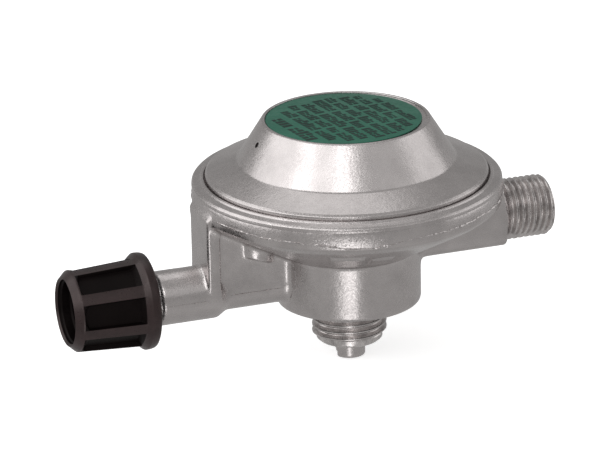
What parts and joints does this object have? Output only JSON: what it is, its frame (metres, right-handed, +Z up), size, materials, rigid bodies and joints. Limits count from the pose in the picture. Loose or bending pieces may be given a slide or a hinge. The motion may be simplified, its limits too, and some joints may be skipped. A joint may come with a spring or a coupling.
{
  "type": "gas regulator",
  "caption": "Low-pressure gas regulator: round diaphragm housing on a threaded cylinder stud, with a side shut-off valve under a fluted knob and a threaded outlet.",
  "frame": {"origin": "on the inlet stud's axis, in the plane of the hub's underside, which stands on the cylinder valve", "axes": "+Z up through the diaphragm and the lid, +X along the outlet, and the shut-off valve and its knob lie along -X"},
  "size_m": [0.1084, 0.0658, 0.0534],
  "materials": {
    "cast_zinc": "satin, blasted die-cast zinc",
    "plated_steel": "zinc-plated",
    "thread_steel": "dull turned",
    "brass": "turned",
    "black_rubber": "matte",
    "black_plastic": "moulded, slight sheen",
    "green_label": "printed film"
  },
  "bodies": {
    "housing": {"body": "cast_zinc", "lid": "cast_zinc", "label": "green_label", "adjusting_screw": "brass", "main_spring": "plated_steel", "diaphragm": "black_rubber", "lever_pin": "plated_steel", "inlet_jet": "brass", "inlet_stud": "thread_steel", "thrust_pin": "cast_zinc", "inlet_seal": "black_rubber", "strainer": "plated_steel", "gland_nut": "brass", "gland_seal": "black_rubber", "spindle_o_ring": "black_rubber"},
    "diaphragm_stack": {"diaphragm_plate": "plated_steel", "support_washer": "plated_steel", "diaphragm_stem": "cast_zinc", "stem_nut": "plated_steel"},
    "lever": {"lever": "plated_steel", "seat_disc": "black_rubber"},
    "closing_pad": {"pad_holder": "brass", "valve_pad": "black_rubber"},
    "handwheel": {"valve_spindle": "plated_steel", "knob": "black_plastic", "knob_screw": "plated_steel"}
  },
  "joints": [
    {"name": "spindle_slide", "type": "slide", "parent": "housing", "child": "closing_pad", "axis": [-1, 0, 0], "range_m": [0, 0.00187]},
    {"name": "knob_turn", "type": "hinge", "parent": "closing_pad", "child": "handwheel", "pos_m": [-0.045, 0, 0.0061], "axis": [-1, 0, 0], "range_deg": [0, 540]},
    {"name": "diaphragm_lift", "type": "slide", "parent": "housing", "child": "diaphragm_stack", "axis": [0, 0, 1], "range_m": [0, 0.001], "stiffness_N_per_m": 2000, "springref_m": -0.004, "deforming": ["main_spring", "diaphragm"]},
    {"name": "lever_swing", "type": "hinge", "parent": "housing", "child": "lever", "pos_m": [-0.008, 0, 0.0134], "axis": [0, -1, 0], "range_deg": [0, 7.2]}
  ],
  "couplings": [
    {"joint": "knob_turn", "follows": "spindle_slide", "rad_per_m": 5026.5},
    {"joint": "lever_swing", "follows": "diaphragm_lift", "rad_per_m": 125}
  ]
}
